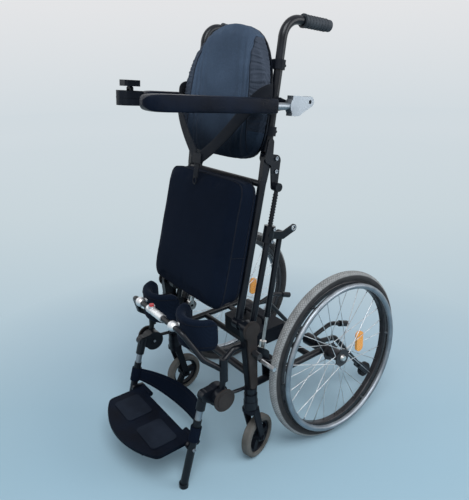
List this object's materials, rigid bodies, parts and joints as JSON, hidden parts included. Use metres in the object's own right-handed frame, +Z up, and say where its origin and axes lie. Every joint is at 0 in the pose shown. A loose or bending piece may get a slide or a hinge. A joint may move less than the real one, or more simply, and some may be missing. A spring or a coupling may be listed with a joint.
{
  "type": "standing_wheelchair",
  "caption": "Standing wheelchair with a powered stand-up seat, knee support, cambered spoked wheels, casters and padded back, drawn standing",
  "frame": {"origin": "on the floor, under the middle of the bounding box", "axes": "+Z up, the user faces -Y, the user's left is +X"},
  "size_m": [0.7016, 1.045, 1.3962],
  "materials": {
    "frame_black": "satin powder coat",
    "cover_taupe": "fine-grained moulding",
    "plastic_black": "fine-grained moulding",
    "rubber_black": "matt",
    "tyre_grey": "matt moulded tread",
    "bright_metal": "polished and anodised",
    "steel_bright": "brushed",
    "cloth_navy": "close woven",
    "pad_black": "smooth moulded skin",
    "amber_lens": "prismatic",
    "button_red": "glossy"
  },
  "bodies": {
    "base": {"side_frame_left": "frame_black", "side_frame_right": "frame_black", "cross_tubes": "frame_black", "pivot_covers": "cover_taupe", "battery_pack": "plastic_black", "anti_tip_arms": "frame_black", "caster_housings": "frame_black", "axle_pins": "steel_bright"},
    "seat": {"seat_frame": "frame_black", "seat_pan": "plastic_black", "seat_cushion": "cloth_navy"},
    "back": {"back_canes": "frame_black", "push_grips": "rubber_black", "back_shell": "plastic_black", "back_pad": "cloth_navy", "cane_clamps": "plastic_black", "waist_belt": "cloth_navy", "belt_buckle": "plastic_black"},
    "legs": {"leg_tubes": "bright_metal", "leg_posts": "frame_black", "calf_strap": "cloth_navy"},
    "footplate": {"footplate": "plastic_black", "foot_grips": "rubber_black"},
    "arm_left": {"arm_bracket_left": "bright_metal", "arm_pad_left": "pad_black"},
    "arm_right": {"arm_bracket_right": "bright_metal", "arm_pad_right": "pad_black", "control_box": "plastic_black"},
    "paddle": {"control_paddle": "plastic_black"},
    "button": {"release_button": "button_red"},
    "wheel_left": {"tyre_left": "tyre_grey", "laced_wheel_left": "bright_metal", "handrim_left": "bright_metal", "reflector_left": "amber_lens"},
    "fork_left": {"caster_fork_left": "plastic_black"},
    "caster_left": {"caster_hub_left": "plastic_black", "caster_tyre_left": "tyre_grey"},
    "roller_left": {"roller_left": "rubber_black"},
    "brake_left": {"brake_lever_left": "frame_black"},
    "link_left": {"push_link_left": "frame_black"},
    "screw_left": {"lift_screw_left": "steel_bright"},
    "lift_left": {"lift_tube_left": "frame_black"},
    "knee_left": {"knee_bar_left": "frame_black", "knee_fittings_left": "bright_metal", "knee_cup_left": "cloth_navy"},
    "wheel_right": {"tyre_right": "tyre_grey", "laced_wheel_right": "bright_metal", "handrim_right": "bright_metal", "reflector_right": "amber_lens"},
    "fork_right": {"caster_fork_right": "plastic_black"},
    "caster_right": {"caster_hub_right": "plastic_black", "caster_tyre_right": "tyre_grey"},
    "roller_right": {"roller_right": "rubber_black"},
    "brake_right": {"brake_lever_right": "frame_black"},
    "link_right": {"push_link_right": "frame_black"},
    "screw_right": {"lift_screw_right": "steel_bright"},
    "lift_right": {"lift_tube_right": "frame_black"},
    "knee_right": {"knee_bar_right": "frame_black", "knee_fittings_right": "bright_metal", "knee_cup_right": "cloth_navy"}
  },
  "joints": [
    {"name": "seat_lift", "type": "hinge", "parent": "base", "child": "seat", "pos_m": [0, -0.1575, 0.507], "axis": [1, 0, 0], "range_deg": [-79, 0]},
    {"name": "back_level", "type": "hinge", "parent": "seat", "child": "back", "pos_m": [0, -0.04603, 1.00979], "axis": [1, 0, 0], "range_deg": [0, 79], "deforming": ["waist_belt", "belt_buckle"]},
    {"name": "link_left_swing", "type": "hinge", "parent": "base", "child": "link_left", "pos_m": [0.216, -0.136, 0.422], "axis": [1, 0, 0], "range_deg": [-79, 0]},
    {"name": "screw_left_swing", "type": "hinge", "parent": "base", "child": "screw_left", "pos_m": [0.216, -0.0815, 0.385], "axis": [1, 0, 0], "range_deg": [-83.13, 0]},
    {"name": "lift_left_slide", "type": "slide", "parent": "screw_left", "child": "lift_left", "axis": [0, 0.1813, 0.9834], "range_m": [-0.0799, 0]},
    {"name": "link_right_swing", "type": "hinge", "parent": "base", "child": "link_right", "pos_m": [-0.216, -0.136, 0.422], "axis": [1, 0, 0], "range_deg": [-79, 0]},
    {"name": "screw_right_swing", "type": "hinge", "parent": "base", "child": "screw_right", "pos_m": [-0.216, -0.0815, 0.385], "axis": [1, 0, 0], "range_deg": [-83.13, 0]},
    {"name": "lift_right_slide", "type": "slide", "parent": "screw_right", "child": "lift_right", "axis": [0, 0.1813, 0.9834], "range_m": [-0.0799, 0]},
    {"name": "leg_raise", "type": "hinge", "parent": "base", "child": "legs", "pos_m": [0, -0.2605, 0.298], "axis": [1, 0, 0], "range_deg": [-20, 0]},
    {"name": "footplate_flip", "type": "hinge", "parent": "legs", "child": "footplate", "pos_m": [0, -0.3295, 0.134], "axis": [-1, 0, 0], "range_deg": [0, 60]},
    {"name": "knee_left_swing", "type": "hinge", "parent": "base", "child": "knee_left", "pos_m": [0.23, -0.2445, 0.396], "axis": [0, 0, 1], "range_deg": [0, 100]},
    {"name": "arm_left_flip", "type": "hinge", "parent": "back", "child": "arm_left", "pos_m": [0.25, 0.0076, 1.15579], "axis": [-1, 0, 0], "range_deg": [0, 100]},
    {"name": "wheel_left_spin", "type": "hinge", "parent": "base", "child": "wheel_left", "pos_m": [0.297, 0.1925, 0.30473], "axis": [0.999, 0, 0.0436], "continuous": true},
    {"name": "caster_left_swivel", "type": "hinge", "parent": "base", "child": "fork_left", "pos_m": [0.243, -0.1495, 0.214], "axis": [0, 0, 1], "continuous": true},
    {"name": "caster_left_roll", "type": "hinge", "parent": "fork_left", "child": "caster_left", "pos_m": [0.23308, -0.11489, 0.0758], "axis": [0.9613, 0.2756, 0], "continuous": true},
    {"name": "brake_left_swing", "type": "hinge", "parent": "base", "child": "brake_left", "pos_m": [0.262, -0.0695, 0.35], "axis": [1, 0, 0], "range_deg": [-26, 0]},
    {"name": "roller_left_spin", "type": "hinge", "parent": "base", "child": "roller_left", "pos_m": [0.196, 0.4925, 0.066], "axis": [1, 0, 0], "continuous": true},
    {"name": "knee_right_swing", "type": "hinge", "parent": "base", "child": "knee_right", "pos_m": [-0.23, -0.2445, 0.396], "axis": [0, 0, -1], "range_deg": [0, 100]},
    {"name": "arm_right_flip", "type": "hinge", "parent": "back", "child": "arm_right", "pos_m": [-0.25, 0.0076, 1.15579], "axis": [-1, 0, 0], "range_deg": [0, 100]},
    {"name": "wheel_right_spin", "type": "hinge", "parent": "base", "child": "wheel_right", "pos_m": [-0.297, 0.1925, 0.30473], "axis": [0.999, 0, -0.0436], "continuous": true},
    {"name": "caster_right_swivel", "type": "hinge", "parent": "base", "child": "fork_right", "pos_m": [-0.243, -0.1495, 0.214], "axis": [0, 0, 1], "continuous": true},
    {"name": "caster_right_roll", "type": "hinge", "parent": "fork_right", "child": "caster_right", "pos_m": [-0.24551, -0.11359, 0.0758], "axis": [0.9976, 0.0698, 0], "continuous": true},
    {"name": "brake_right_swing", "type": "hinge", "parent": "base", "child": "brake_right", "pos_m": [-0.262, -0.0695, 0.35], "axis": [1, 0, 0], "range_deg": [-26, 0]},
    {"name": "roller_right_spin", "type": "hinge", "parent": "base", "child": "roller_right", "pos_m": [-0.196, 0.4925, 0.066], "axis": [1, 0, 0], "continuous": true},
    {"name": "button_press", "type": "slide", "parent": "knee_right", "child": "button", "axis": [0, 0, -1], "range_m": [0, 0.003], "stiffness_N_per_m": 400},
    {"name": "paddle_rock", "type": "hinge", "parent": "arm_right", "child": "paddle", "pos_m": [-0.25, -0.24569, 1.19975], "axis": [1, 0, 0], "range_deg": [-8, 8], "stiffness_Nm_per_rad": 1.5}
  ],
  "couplings": [
    {"joint": "back_level", "follows": "seat_lift", "ratio": -1},
    {"joint": "link_left_swing", "follows": "seat_lift", "ratio": 1},
    {"joint": "screw_left_swing", "follows": "seat_lift", "ratio": 1.0522},
    {"joint": "lift_left_slide", "follows": "seat_lift", "m_per_rad": 0.05789},
    {"joint": "link_right_swing", "follows": "seat_lift", "ratio": 1},
    {"joint": "screw_right_swing", "follows": "seat_lift", "ratio": 1.0522},
    {"joint": "lift_right_slide", "follows": "seat_lift", "m_per_rad": 0.05789},
    {"joint": "leg_raise", "follows": "seat_lift", "ratio": 0.25315}
  ]
}
